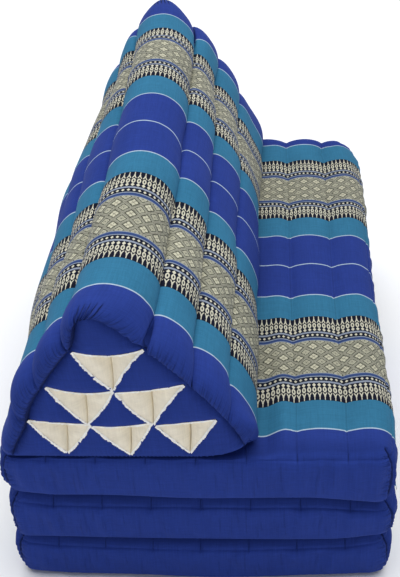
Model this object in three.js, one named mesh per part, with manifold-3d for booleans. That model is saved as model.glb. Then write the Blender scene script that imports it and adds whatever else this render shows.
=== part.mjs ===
// Thai triangle cushion with a fold-out mattress: three quilted mats, folded zigzag under a triangular
// back cushion that is sewn to the top one.
// Millimetres, +Z up. X runs across the triangle, Y along it, and the front end faces -Y.
// The origin is on the floor, under the middle of the whole.
import * as THREE from 'three';
import { mergeVertices } from 'three/addons/utils/BufferGeometryUtils.js';
import { ConvexGeometry } from 'three/addons/geometries/ConvexGeometry.js';
import Module from 'manifold-3d';

const wasm = await Module();
wasm.setup();

// The stack of mats
const MAT_LENGTH = 560;
const MAT_WIDTH = 800;
const MAT_PITCH = 95;
const STACK_GAP = 1.1;
const CHANNELS = 8;
const EDGE_RADIUS = 30;
const LOWER_EDGE_RADIUS = 14;
const SIDE_BULGE = 7;
const END_BULGE = 6;
const END_CROWN = 2;
const BACK_CORNER_ZONE = 85;
// How far each side is drawn in at the middle and runs in towards the back, and where it starts to
const LEFT_SIDE = { drawIn: 14, taper: 16, taperStart: -200 };
const RIGHT_SIDE = { drawIn: 12, taper: 12, taperStart: 150 };
// How far the front and back edges hang at half the height of the stack, and how deep that reaches in
const EDGE_HANG = { drop: 9, zone: 48 };
const TOP_QUILT = 10;
const INNER_QUILT = 6;
const STITCH_SHARPNESS = 0.7;
const ROW_SPREAD = 1.7;

// How each mat lies in the stack, and how deep its stitch lines draw its top and bottom in
const MATS = [
  { name: 'mat_bottom', level: 0, shiftX: -2, shiftY: 0, topQuilt: INNER_QUILT, bottomQuilt: 0 },
  { name: 'mat_middle', level: 1, shiftX: 2, shiftY: 2, topQuilt: INNER_QUILT, bottomQuilt: INNER_QUILT },
  { name: 'mat_top', level: 2, shiftX: 0, shiftY: -2, topQuilt: TOP_QUILT, bottomQuilt: INNER_QUILT },
];

// The triangle: seams between its channels, from the apex down, as half widths and heights over its base
const OUTER_SEAMS = [
  { halfWidth: 52, height: 215 },
  { halfWidth: 95, height: 160 },
  { halfWidth: 136, height: 95 },
  { halfWidth: 161, height: 0 },
];
// The same seams at the two end faces, which are also the lines between the rows of cells there
const END_SEAMS = [
  { halfWidth: 47, height: 193 },
  { halfWidth: 90, height: 128 },
  { halfWidth: 126.5, height: 63 },
  { halfWidth: 157, height: 3 },
];
const APEX_RISE = 54;
const END_APEX_RISE = 57;
const CHANNEL_RISE = 16;
const TRIANGLE_GAP = 1.5;
const TRIANGLE_FOOT = 10;
const TRIANGLE_CENTRE = -81.5;
const TRIANGLE_SKEW = 0.011;
const TRIANGLE_TAPER = 0.025;
// How far the back end stands to the right, and by what share it rises
const TRIANGLE_BACK = { shift: 8, rise: 0.03 };
// How far the top leans sideways, and how deep the base sinks into the top mat, along the triangle
const LEAN = { front: -22, middle: 2, back: -11 };
const SINK = { front: 16, middle: 2 };
// The rolled ends: where they start, how deep they are, and how much their upper part is pinched
const FRONT_ROLL = { side: -1, start: 360, depth: 42, pinch: 0 };
const BACK_ROLL = { side: 1, start: 290, depth: 115, pinch: 0.2 };
const PINCH_HEIGHT = 130;
const ROLL_TURN = THREE.MathUtils.degToRad(115);
const ROLL_STEPS = 5;
const FACE_CROWN = 7;
// Rings of the crowned end faces, from the middle out: share of the face and share of its crown
const FACE_RINGS = [
  { ring: 0.35, crown: 1 },
  { ring: 0.72, crown: 0.8 },
];
const STRAIGHT_SHARES = [0.75, 0.5, 0.25];
const LEAN_POWER = 1.5;
// Points round a section: on each side channel, on the apex channel and along the base
const SECTION_STEPS = { channel: 6, apex: 10, base: 8 };
const END_CHANNEL_RISE = 2;

// White-lined pockets between the cells of each end face
const POCKET_ROWS = 3;
const POCKET_DEPTH = 22;
const POCKET_MARGIN = 1.4;
const LINING_GAP = 0.6;
const LINING_THICKNESS = 1.8;
const POCKET_REACH = 25;
const POCKET_FLOOR_DROP = 4;
const LINING_DEPTH_RATIO = 1.2;

// Strips of cloth that join the folded parts along their edges
const HINGE_THICKNESS = 2.5;
const HINGE_GAP = 1.7;
const HINGE_TUCK = 7;
const HINGE_HALF_HEIGHT = 34;
const HINGE_LENGTH = 720;
const HINGE_STEPS = 10;
const HINGE_CURVE_STEPS = 18;
// Where the first strip starts over the fold and ends under the triangle
const FIRST_HINGE = { low: 5, high: 9 };

const NAVY = 0x24337f;
const TEAL = 0x3c85ae;
const CREAM = 0xe6dfd2;

const halfLength = MAT_LENGTH / 2 - SIDE_BULGE;
const halfWidth = MAT_WIDTH / 2;
const halfThickness = (MAT_PITCH - STACK_GAP) / 2;
const channelPitch = MAT_LENGTH / CHANNELS;
const stackTop = MATS.length * MAT_PITCH - STACK_GAP;
const sectionHeight = OUTER_SEAMS[0].height + APEX_RISE;

function clothMaterial(color) {
  return new THREE.MeshStandardMaterial({ color, roughness: 0.9, metalness: 0 });
}

// Geometry helpers

function toSolid(geometry) {
  const bare = geometry.clone();
  bare.deleteAttribute('normal');
  bare.deleteAttribute('uv');
  const merged = mergeVertices(bare, 1e-3);
  return new wasm.Manifold(new wasm.Mesh({
    numProp: 3,
    vertProperties: new Float32Array(merged.attributes.position.array),
    triVerts: new Uint32Array(merged.index.array),
  }));
}

function toGeometry(solid) {
  const mesh = solid.getMesh();
  const geometry = new THREE.BufferGeometry();
  geometry.setAttribute('position', new THREE.BufferAttribute(mesh.vertProperties, 3));
  geometry.setIndex(new THREE.BufferAttribute(mesh.triVerts, 1));
  geometry.computeVertexNormals();
  return geometry;
}

function clampTo(value, limit) {
  return THREE.MathUtils.clamp(value, -limit, limit);
}

// Mats: a rounded box whose faces are puffed, drawn in between the corners and stitched into channels

function stitchLine(x) {
  const edgeChannel = MAT_LENGTH / 2 - channelPitch / 2;
  if (Math.abs(x) > edgeChannel) return 0;
  const across = (x + MAT_LENGTH / 2) / channelPitch;
  return 1 - Math.abs(Math.sin(Math.PI * across)) ** STITCH_SHARPNESS;
}

// How far inside its straight line a mat's side lies
function sideInset(side, y) {
  const { drawIn, taper, taperStart } = side < 0 ? LEFT_SIDE : RIGHT_SIDE;
  const narrowing = taper * THREE.MathUtils.smoothstep(y, taperStart, halfWidth);
  return drawIn * (1 - (y / halfWidth) ** 2) + narrowing;
}

// Rounds a mat's two back corners in plan, which are softer than the front ones
function pullBackCorner(point) {
  const overX = Math.abs(point.x) - (halfLength - BACK_CORNER_ZONE);
  const overY = point.y - (halfWidth - BACK_CORNER_ZONE);
  if (overX <= 0 || overY <= 0) return;
  const pull = 1 - Math.sqrt(Math.max(overX, overY) / Math.hypot(overX, overY));
  point.x -= Math.sign(point.x) * overX * pull;
  point.y -= overY * pull;
}

function edgeRadiusAt(z) {
  return z > 0 ? EDGE_RADIUS : LOWER_EDGE_RADIUS;
}

// Rounds a point of the box at its upright corners and along its edges, the lower ones more tightly.
// Gives the way out in plan, which is shorter the more the surface faces up or down.
function roundEdges(point) {
  const inner = new THREE.Vector2(
    clampTo(point.x, halfLength - EDGE_RADIUS), clampTo(point.y, halfWidth - EDGE_RADIUS));
  const out = new THREE.Vector2(point.x, point.y).sub(inner);
  const reach = Math.max(Math.abs(out.x), Math.abs(out.y));
  const radius = edgeRadiusAt(point.z);
  const core = new THREE.Vector2(
    Math.min(reach, EDGE_RADIUS - radius), clampTo(point.z, halfThickness - radius));
  const turn = new THREE.Vector2(reach, point.z).sub(core).setLength(radius);
  out.normalize();
  point.x = inner.x + out.x * (core.x + turn.x);
  point.y = inner.y + out.y * (core.x + turn.x);
  point.z = core.y + turn.y;
  return out.multiplyScalar(turn.x / radius);
}

function puffMat(point, mat) {
  const share = Math.abs(point.y) / halfWidth;
  point.y = Math.sign(point.y) * halfWidth * (1 - (1 - share) ** ROW_SPREAD);
  const out = roundEdges(point);

  const level = point.z / halfThickness;
  const quilt = level > 0 ? mat.topQuilt : mat.bottomQuilt;
  const belly = 1 - level * level;
  point.z -= level * quilt * stitchLine(point.x);
  const inset = sideInset(point.x, point.y) * point.x / halfLength;
  const crown = END_CROWN * (1 - (point.x / halfLength) ** 2) * point.y / halfWidth;
  pullBackCorner(point);
  point.x += out.x * SIDE_BULGE * belly - inset;
  point.y += out.y * END_BULGE * belly + crown;
}

function hangEdge(point) {
  const hang = THREE.MathUtils.smoothstep(
    Math.abs(point.y), halfWidth - EDGE_HANG.zone, halfWidth);
  const share = THREE.MathUtils.clamp(point.z / stackTop, 0, 1);
  point.z -= EDGE_HANG.drop * hang * Math.sin(Math.PI * share);
}

// How deep the triangle sinks into the top mat: most at the front, where the mat's edge gives way
function sinkAt(y) {
  const frontness = THREE.MathUtils.smoothstep(-y, 0, halfWidth);
  return THREE.MathUtils.lerp(SINK.middle, SINK.front, frontness);
}

function pressUnderTriangle(point) {
  const edge = TRIANGLE_CENTRE + OUTER_SEAMS[3].halfWidth + TRIANGLE_FOOT;
  const freed = THREE.MathUtils.smoothstep(point.x, edge, edge + channelPitch / 2);
  const pressed = Math.min(point.z, stackTop - sinkAt(point.y));
  point.z = THREE.MathUtils.lerp(pressed, point.z, freed);
}

function matGeometry(mat) {
  const box = new THREE.BoxGeometry(
    2 * halfLength, 2 * halfWidth, 2 * halfThickness, CHANNELS * 4, 10, 4);
  box.deleteAttribute('normal');
  box.deleteAttribute('uv');
  const geometry = mergeVertices(box, 1e-3);
  const position = geometry.attributes.position;
  const point = new THREE.Vector3();
  for (let i = 0; i < position.count; i++) {
    point.fromBufferAttribute(position, i);
    puffMat(point, mat);
    point.x += mat.shiftX;
    point.y += mat.shiftY;
    point.z += mat.level * MAT_PITCH + halfThickness;
    if (mat.name === 'mat_top') pressUnderTriangle(point);
    hangEdge(point);
    position.setXYZ(i, point.x, point.y, point.z);
  }
  geometry.computeVertexNormals();
  return geometry;
}

// Triangle: one filled loft through sections along Y, rolled over at both ends into the end faces

// A half ellipse from one seam to the next, without its last point
function puffedArc(from, to, rise, steps) {
  const along = to.clone().sub(from);
  const outward = new THREE.Vector2(-along.y, along.x).normalize();
  const points = [];
  for (let i = 0; i < steps; i++) {
    const turn = Math.PI * i / steps;
    const point = from.clone().addScaledVector(along, (1 - Math.cos(turn)) / 2);
    points.push(point.addScaledVector(outward, rise * Math.sin(turn)));
  }
  return points;
}

function sectionLoop(seams, apexRise, channelRise) {
  const left = seams.map((s) => new THREE.Vector2(-s.halfWidth, s.height)).reverse();
  const right = seams.map((s) => new THREE.Vector2(s.halfWidth, s.height));
  const last = seams.length - 1;
  const loop = [];
  const { channel, apex, base } = SECTION_STEPS;
  for (let i = 0; i < last; i++) loop.push(...puffedArc(left[i], left[i + 1], channelRise, channel));
  loop.push(...puffedArc(left[last], right[0], apexRise, apex));
  for (let i = 0; i < last; i++) loop.push(...puffedArc(right[i], right[i + 1], channelRise, channel));
  loop.push(...puffedArc(right[last], left[0], 0, base));
  return loop;
}

// Where a point of a section stands: the triangle lies a little askew, and its top leans over at the front
function placeInSection(x, height, y) {
  const t = y / halfWidth;
  const slope = (LEAN.back - LEAN.front) / 2;
  const bend = (LEAN.back + LEAN.front) / 2 - LEAN.middle;
  const topLean = LEAN.middle + slope * t + bend * t * t;
  const lean = topLean * (Math.max(0, height) / sectionHeight) ** LEAN_POWER;
  const backness = THREE.MathUtils.smoothstep(t, 0, 1);
  const base = stackTop + TRIANGLE_GAP - sinkAt(y);
  const middle = TRIANGLE_CENTRE + TRIANGLE_SKEW * y + TRIANGLE_BACK.shift * backness + lean;
  const rise = 1 + TRIANGLE_TAPER * t + TRIANGLE_BACK.rise * backness;
  return new THREE.Vector3(middle + x * (1 - TRIANGLE_TAPER * t), y, base + height * rise);
}

function pinched(point, roll) {
  const share = roll.pinch * THREE.MathUtils.smoothstep(point.y, 0, PINCH_HEIGHT);
  return new THREE.Vector2(point.x * (1 - share), point.y);
}

// Distance from the middle to an end face's seams
function faceDistance(roll) {
  return roll.start + roll.depth * Math.sin(ROLL_TURN);
}

// Stations of one half, from its end inwards: face rings, the roll over the edge, the straight part
function halfStations(roll) {
  const stations = FACE_RINGS.map(({ ring, crown }) => (
    { y: faceDistance(roll) + crown * FACE_CROWN, end: 1, ring }));
  for (let i = ROLL_STEPS; i >= 0; i--) {
    const turn = ROLL_TURN * i / ROLL_STEPS;
    const end = (1 - Math.cos(turn)) / (1 - Math.cos(ROLL_TURN));
    stations.push({ y: roll.start + roll.depth * Math.sin(turn), end, ring: 1 });
  }
  for (const share of STRAIGHT_SHARES) stations.push({ y: share * roll.start, end: 0, ring: 1 });
  return stations.map((station) => ({ ...station, roll, y: roll.side * station.y }));
}

function triangleBody() {
  const outer = sectionLoop(OUTER_SEAMS, APEX_RISE, CHANNEL_RISE);
  const end = sectionLoop(END_SEAMS, END_APEX_RISE, END_CHANNEL_RISE);
  const middle = { y: 0, end: 0, ring: 1, roll: FRONT_ROLL };
  const stations = [...halfStations(FRONT_ROLL), middle, ...halfStations(BACK_ROLL).reverse()];
  const centre = new THREE.Vector2(0, END_SEAMS[1].height);
  const count = outer.length;
  const vertices = [];
  for (const station of stations) {
    for (let i = 0; i < count; i++) {
      const edge = outer[i].clone().lerp(pinched(end[i], station.roll), station.end);
      const flat = centre.clone().lerp(edge, station.ring);
      vertices.push(placeInSection(flat.x, flat.y, station.y));
    }
  }
  const index = [];
  for (let s = 0; s + 1 < stations.length; s++) {
    for (let i = 0; i < count; i++) {
      const next = (i + 1) % count;
      const a = s * count;
      const b = a + count;
      index.push(a + i, a + next, b + next, a + i, b + next, b + i);
    }
  }
  const last = stations.length - 1;
  const frontMiddle = vertices.push(placeInSection(centre.x, centre.y, stations[0].y)) - 1;
  const backMiddle = vertices.push(placeInSection(centre.x, centre.y, stations[last].y)) - 1;
  const lastLoop = last * count;
  for (let i = 0; i < count; i++) {
    const next = (i + 1) % count;
    index.push(frontMiddle, next, i, backMiddle, lastLoop + i, lastLoop + next);
  }
  const geometry = new THREE.BufferGeometry().setFromPoints(vertices);
  geometry.setIndex(index);
  return toSolid(geometry);
}

// Pockets: upside-down triangles between the cells, whose two walls meet in a crease inside the mouth

function seamNode(row, position) {
  const seam = END_SEAMS[row];
  const cells = row + 1;
  return new THREE.Vector2(seam.halfWidth * (2 * position / cells - 1), seam.height);
}

function pocketMouths() {
  const mouths = [];
  for (let row = 0; row < POCKET_ROWS; row++) {
    for (let i = 0; i <= row; i++) {
      mouths.push([seamNode(row, i), seamNode(row, i + 1), seamNode(row + 1, i + 1)]);
    }
  }
  return mouths;
}

function insetTriangle([a, b, c], margin) {
  const sides = [b.distanceTo(c), c.distanceTo(a), a.distanceTo(b)];
  const perimeter = sides[0] + sides[1] + sides[2];
  const middle = new THREE.Vector2()
    .addScaledVector(a, sides[0]).addScaledVector(b, sides[1]).addScaledVector(c, sides[2])
    .divideScalar(perimeter);
  const area = Math.abs((b.x - a.x) * (c.y - a.y) - (c.x - a.x) * (b.y - a.y)) / 2;
  const inradius = 2 * area / perimeter;
  return [a, b, c].map((p) => p.clone().lerp(middle, margin / inradius));
}

function pocketSolid(mouth, roll, margin) {
  const side = roll.side;
  const faceY = side * faceDistance(roll);
  const corners = insetTriangle(mouth.map((corner) => pinched(corner, roll)), margin);
  const points = [];
  for (const corner of corners) {
    const atFace = placeInSection(corner.x, corner.y, faceY);
    points.push(atFace, atFace.clone().setY(faceY + side * POCKET_REACH));
  }
  const topMiddle = corners[0].clone().add(corners[1]).multiplyScalar(0.5);
  const deepest = placeInSection(topMiddle.x, topMiddle.y - POCKET_FLOOR_DROP, faceY);
  deepest.y = faceY - side * (POCKET_DEPTH - LINING_DEPTH_RATIO * (margin - POCKET_MARGIN));
  points.push(deepest);
  return toSolid(new ConvexGeometry(points));
}

function addTriangle(group) {
  const body = triangleBody();
  let cushion = body;
  const linings = [];
  for (const [end, roll] of [['front', FRONT_ROLL], ['back', BACK_ROLL]]) {
    pocketMouths().forEach((mouth, i) => {
      cushion = cushion.subtract(pocketSolid(mouth, roll, POCKET_MARGIN));
      const outside = pocketSolid(mouth, roll, POCKET_MARGIN + LINING_GAP);
      const inside = pocketSolid(mouth, roll, POCKET_MARGIN + LINING_GAP + LINING_THICKNESS);
      const lining = outside.subtract(inside).intersect(body);
      linings.push({ name: `pocket_lining_${end}_${i + 1}`, solid: lining });
    });
  }
  addPiece(group, 'triangle_cushion', toGeometry(cushion), TEAL);
  for (const { name, solid } of linings) addPiece(group, name, toGeometry(solid), CREAM);
}

// Hinges: strips of cloth over the sides of two neighbours, tucked a little into the fold between them

function matSide(mat, z) {
  const local = z - mat.level * MAT_PITCH - halfThickness;
  const radius = edgeRadiusAt(local);
  const over = Math.max(0, Math.abs(local) - (halfThickness - radius));
  const level = local / halfThickness;
  const round = Math.sqrt(Math.max(0, radius ** 2 - over ** 2));
  return halfLength - radius + round + SIDE_BULGE * (1 - level * level) * round / radius;
}

function hingeGeometry(side, lowMat, highMat, zLow, zHigh) {
  const fold = highMat.level * MAT_PITCH;
  const inner = [];
  const outer = [];
  for (let i = 0; i <= HINGE_CURVE_STEPS; i++) {
    const z = THREE.MathUtils.lerp(zLow, zHigh, i / HINGE_CURVE_STEPS);
    const mat = z < fold ? lowMat : highMat;
    const reach = Math.max(matSide(mat, z), halfLength - HINGE_TUCK) + HINGE_GAP;
    const upper = THREE.MathUtils.smoothstep(z, fold - HINGE_TUCK, fold + HINGE_TUCK);
    const shift = THREE.MathUtils.lerp(lowMat.shiftX, highMat.shiftX, upper);
    inner.push(new THREE.Vector2(side * reach + shift, z));
    outer.push(new THREE.Vector2(side * (reach + HINGE_THICKNESS) + shift, z));
  }
  const outline = new THREE.Shape([...outer, ...inner.reverse()]);
  const strip = new THREE.ExtrudeGeometry(outline, {
    depth: HINGE_LENGTH, steps: HINGE_STEPS, bevelEnabled: false });
  strip.translate(0, 0, -HINGE_LENGTH / 2);
  strip.rotateX(Math.PI / 2);
  const position = strip.attributes.position;
  const point = new THREE.Vector3();
  for (let i = 0; i < position.count; i++) {
    point.fromBufferAttribute(position, i);
    point.x -= side * sideInset(side, point.y);
    hangEdge(point);
    position.setXYZ(i, point.x, point.y, point.z);
  }
  return strip;
}

function addHinges(group) {
  const [bottom, middle, top] = MATS;
  const left = -1;
  const right = 1;
  const lowerFold = middle.level * MAT_PITCH;
  const upperFold = top.level * MAT_PITCH;
  addPiece(group, 'hinge_middle_to_bottom', hingeGeometry(
    left, bottom, middle, lowerFold - HINGE_HALF_HEIGHT, lowerFold + HINGE_HALF_HEIGHT), NAVY);
  addPiece(group, 'hinge_top_to_middle', hingeGeometry(
    right, middle, top, upperFold - HINGE_HALF_HEIGHT, upperFold + HINGE_HALF_HEIGHT), NAVY);
  addPiece(group, 'hinge_triangle_to_top', hingeGeometry(
    left, top, top, upperFold + FIRST_HINGE.low, stackTop - SINK.front - FIRST_HINGE.high), NAVY);
}

function addPiece(group, name, geometry, color) {
  const mesh = new THREE.Mesh(geometry, clothMaterial(color));
  mesh.name = name;
  group.add(mesh);
}

const part = new THREE.Group();
for (const mat of MATS) addPiece(part, mat.name, matGeometry(mat), NAVY);
addHinges(part);
addTriangle(part);

export default part;
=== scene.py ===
"""Looks of a thai triangle cushion sewn to a folded three-section mattress.

All lengths are millimetres until a mesh is made. X runs across the triangle, Y along it, and the
front end faces -Y.
"""

import math

import bpy
import numpy as np
from mathutils import Color, Matrix, Vector
from mathutils.geometry import delaunay_2d_cdt


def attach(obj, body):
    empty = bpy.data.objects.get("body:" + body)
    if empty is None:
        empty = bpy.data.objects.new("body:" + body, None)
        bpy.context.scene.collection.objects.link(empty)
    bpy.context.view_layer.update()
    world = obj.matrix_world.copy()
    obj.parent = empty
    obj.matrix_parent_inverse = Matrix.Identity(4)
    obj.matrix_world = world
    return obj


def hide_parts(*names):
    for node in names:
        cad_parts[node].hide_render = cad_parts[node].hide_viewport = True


METRES = 0.001
TINY = 1e-9
WELD = 0.02

# The stack of mats, as in the solids
MAT_LENGTH = 560
MAT_PITCH = 95
STACK_GAP = 1.1
CHANNELS = 8
HALF_LENGTH = 273
HALF_WIDTH = 400
HALF_THICKNESS = (MAT_PITCH - STACK_GAP) / 2
CHANNEL_PITCH = MAT_LENGTH / CHANNELS
STACK_TOP = 3 * MAT_PITCH - STACK_GAP
EDGE_RADIUS = 30
LOWER_EDGE_RADIUS = 14
FRONT_CORNER_POWER = 3
SIDE_BULGE = 7
END_BULGE = 6
END_CROWN = 2
BACK_CORNER_ZONE = 85
SIDES = {
    -1: {"draw_in": 14, "taper": 16, "taper_start": -200},
    1: {"draw_in": 12, "taper": 12, "taper_start": 150},
}
EDGE_HANG = 9
EDGE_HANG_ZONE = 48
# Uneven front corners: where along they start, then from and to across, height of the joint, spread, drop
SETTLE_START = 230
SETTLING = [
    (140, 275, 186, 42, 14),
    (190, 275, 92, 34, -9),
    (-190, -275, 186, 42, -9),
]
# Each mat: level, shift across and along, quilting below and above, how far the front corners are
# drawn in and drawn back
MATS = [
    {"name": "mat_bottom", "level": 0, "shift": (-2, 0), "quilt": (0, 7), "seed": 11,
     "drawn_in": 0, "drawn_back": 10},
    {"name": "mat_middle", "level": 1, "shift": (2, 2), "quilt": (6, 7), "seed": 23,
     "drawn_in": 0, "drawn_back": 0},
    {"name": "mat_top", "level": 2, "shift": (0, -2), "quilt": (6, 9.5), "seed": 37,
     "drawn_in": 6.5, "drawn_back": 0},
]
FRONT_CORNER_START = 280
STITCH_SHARPNESS = 0.62
PANEL_SEAM = 31
SCALLOP = 4
# Where the quilting fades towards the ends below, and where and how much it is flatter in front above
QUILT_FADE = (HALF_WIDTH - 75, HALF_WIDTH - 20)
FLATTER_QUILT = {"along": (150, 380), "loss": 0.3}
UNDER_TRIANGLE = (60, 110)
# Wrinkles of the mats: height, reach from the seam, pitch, and how much and how slowly they sway
UNEVEN = {"height": 0.8, "length": 260}
PUCKERS = {"height": 0.55, "reach": 9, "pitch": 1.9, "sway": 2.2, "length": 90}
PANEL_GATHERS = {"height": 0.45, "reach": 10, "pitch": 1.4, "sway": 2.5, "length": 60}
PANEL_GROOVE = {"depth": 1.8, "width": 2}
PANEL_RIPPLE = {"length": 24, "fade": 15, "foot": (-45, -15)}
CORNER_SEAM = {"depth": 4, "width": 3}
CORNER_FOLDS = {"height": 1.2, "reach": 13, "pitch": 1.7, "sway": 1.2, "length": 30}
MAT_STEPS = {"rim": 13, "channel": 18, "along": 131, "up": 33}

# The triangle, as in the solids: seams from the apex down as half widths and heights
OUTER_SEAMS = [(52, 215), (95, 160), (136, 95), (161, 0)]
RIGHT_SHIFT = [0, -4.5, -6.5, -3]
END_SEAMS = [(46.5, 198), (96, 131), (133, 67), (158, -1)]
END_RIGHT_SHIFT = [0, 0, -1, -10]
END_APEX_PULL = [(-23, 242), (-38, 316)]
APEX_RISE = 54
CHANNEL_RISE = 16
END_CHANNEL_RISE = 2
TRIANGLE_GAP = 1.5
TRIANGLE_FOOT = 10
TRIANGLE_CENTRE = -81.5
TRIANGLE_SKEW = 0.011
TRIANGLE_TAPER = 0.025
BACK_SHIFT = 8
BACK_RISE = 0.03
LEAN = {"front": -22, "middle": 2, "back": -11}
LEAN_POWER = 1.5
SINK = {"front": 16, "middle": 2}
APEX_SAG = {"drop": 12, "start": 150, "heights": (205, 262)}
# How much the sides are drawn in at the back, with the heights and the run where that comes and goes
DRAWN = {"left": 0.13, "right": 0.1, "foot": (0, 70), "top": (190, 235), "run": (60, 330)}
FLAT_CHANNEL = {"share": 0.05, "height": 64, "spread": 30, "across": (90, 150), "run": (200, 380)}
# How far the pattern runs ahead on the right of the back
BACK_EASE = {"shift": 20, "run": (130, 340)}
SECTION_HEIGHT = OUTER_SEAMS[0][1] + APEX_RISE
FRONT_ROLL = {"side": -1, "start": 358, "depth": 50, "turn": 124, "steps": 30, "gather": 1}
BACK_ROLL = {"side": 1, "start": 290, "depth": 115, "turn": 115, "steps": 34, "gather": 0.3}
BACK_PINCH = 0.12
PINCH_HEIGHT = 130
BACK_APEX_PINCH = {"share": 0.35, "heights": (205, 255)}
SECTION_STEPS = {"channel": 40, "apex": 110, "base": 90}
STATION_PITCH = 6.5
# Wrinkles of the triangle
CHANNEL_PUCKERS = {"height": 0.5, "share": 0.1, "pitch": 1.8, "sway": 2.4, "length": 90}
LUMPS = {"height": 1.3, "length": 170}
END_GATHERS = {"height": 1.2, "reach": (0.4, 0.95), "pitches": (1.3, 2.1), "sway": 2.2, "length": 60}
DEEP_GATHERS = {"least": 0.6, "more": 0.7, "across": (20, 45), "height": 215, "fade": (20, 45)}

# Cells and pockets of the end faces; each mouth is left tip, right tip, lower vertex, then how far
# its upper edge sags and how far its left and right edges bow out
CELL_CROWN = 7
CELL_EDGE = 9
CELL_PITCH = 2.6
SEAM_SINK = 4.5
SEAM_SPREAD = 4
SEAM_PUCKER = {"height": 1.6, "pitch": 1.1, "sway": 2, "length": 30}
SEAM_BASE = (1, 12)
CELL_RIPPLE = {"height": 0.3, "length": 26, "fade": 15}
TUCK = [(1.2, 3), (3, 8)]
PLEATS = [(-25, 6), (-18.5, 8), (-11.5, 8.5), (-4.5, 8), (4, 6)]
PLEAT_WIDTH = 1.8
PLEAT_LIP = {"share": 0.35, "width": 2.2}
PLEAT_REACH = (0.22, 0.6)
PLEAT_HEIGHTS = (225, 240)
FOOT_ZONE = 35
ROLL_PUFF = 9
NOTCH_DEPTH = 11
NOTCH_WIDTH = 4.5
CORNER_LIFT = 42
CORNER_ROUND = 24
LIFT_START = 78
LIFT_END = 166
LIFT_RUN = (370, 405)
LIFT_HEIGHTS = (-5, 120)
POCKET_DEPTH = 24
FOLD_DEPTH = 0.65
SLOT_WIDTH = 1.3
SLOT_DEPTH = 22
WALL_STEPS = 22
RIM_STEPS = 31
SELVAGE = 2.2
MOUTHS = [
    ((-44.5, 195), (43, 199), (-6, 127.5), 9, 5, -3.5),
    ((-90, 133), (-7.5, 125.5), (-50, 63), 8, 3, 3),
    ((-4, 122.5), (83, 137), (35, 63), 3, 5, -2),
    ((-130.5, 70.5), (-46.5, 62), (-84.5, 7), 1, 2, 2),
    ((-44, 59), (33, 65.5), (-1, 3.5), 4, 2, 1),
    ((38, 60), (116, 71), (77.5, 7.5), 0, 0.5, 0),
]

# Hinges
HINGE_LENGTH = 710
HINGE_TUCK = 7
HINGE_HALF_HEIGHT = 34
HINGE_LIFT = 1.6
HINGE_RIPPLE = {"height": 0.5, "length": 60}
HINGE_STEPS = {"up": 41, "along": 141}
# How far the uppermost strip starts over the joint below, and ends under the triangle
HINGE_FOOT = 5
HINGE_HEAD = 9
FIRST_SEED = {"hinge": 70, "lining": 100}

# The cloth's pattern: distances along it from its middle, and pitches across it and along it
STRIPE_LINE = 76.3
BAND_MIDDLE = 216.5
DIAMONDS_HALF = 34.2
BAND_HALF = 88.8
EDGE_LINE = 358.4
LINE_HALF = 1
THREAD = 0.4
MOTIF_PITCH = 7.4
DIAMOND_PITCH = 22.6
DIAMOND_ROWS = 21.6
# How light the mats' cloth is painted, on top and on the edge panels: the tops darker as painted shade,
# the panels lighter as painted light
MAT_PAINTED_SHADE = 0.84
PANEL_PAINTED_LIGHT = 1.04
# Gathers and pleats drawn on the rolled ends as painted shade and bump: places along the cloth, then
# across it
GATHER_PITCH = 2.6
GATHER_START = 402
GATHER_END = 430
SEAM_AT = 441
FACE_START = 460
PLEAT_PITCH = 7.1
FIRST_PLEAT = 345
LAST_PLEAT = 380.5

# Lights: the way to each, its spread in degrees and its strength
SUNS = {"overhead": ((0.03, 0.35, 1), 80, 3.6), "front": ((0.1, -1, 0.08), 50, 0.65)}
SKY = {"Color": (0.88, 0.95, 1.14, 1), "Strength": 0.3}
FLOOR_REACH = 30

# The camera that was fitted to the photograph
CAMERA_PLACE = (101.8, -1409.8, 1387.7)
CAMERA_YAW = -4.67
CAMERA_PITCH = 39.23
CAMERA_ROLL = -3.33
CAMERA_FOCUS_PX = 1110.9
PHOTO_LONG_SIDE_PX = 577
SENSOR = 36


# Numbers and smooth noise


def smoothstep(x, low, high):
    t = np.clip((np.asarray(x, float) - low) / (high - low), 0, 1)
    return t * t * (3 - 2 * t)


def bell(x, width):
    return np.exp(-((x / width) ** 2))


def unit(ways):
    return ways / np.maximum(np.linalg.norm(ways, axis=-1, keepdims=True), TINY)


def square_left(along):
    """The unit ways square to some steps, on their left."""
    return unit(np.stack([-along[..., 1], along[..., 0]], axis=-1))


def ripple(u, v, length, seed, waves=9):
    """A smooth random field of about unit height, made of waves near one length."""
    rng = np.random.default_rng(seed)
    turn = rng.uniform(0, 2 * math.pi, waves)
    phase = rng.uniform(0, 2 * math.pi, waves)
    rate = 2 * math.pi / (length * rng.uniform(0.7, 1.5, waves))
    total = np.zeros(np.broadcast(u, v).shape)
    for a, p, k in zip(turn, phase, rate):
        total += np.sin(k * (u * math.cos(a) + v * math.sin(a)) + p)
    return total / math.sqrt(waves / 2)


def waves(facts, run, u, v, seed, start=0):
    """Small folds one after another along a run, which sway from place to place."""
    drift = facts["sway"] * ripple(u, v, facts["length"], seed)
    return facts["height"] * np.sin(run / facts["pitch"] + drift + start)


# Meshes


def new_object(name, data):
    made = bpy.data.objects.new(name, data)
    bpy.context.scene.collection.objects.link(made)
    return made


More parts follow.
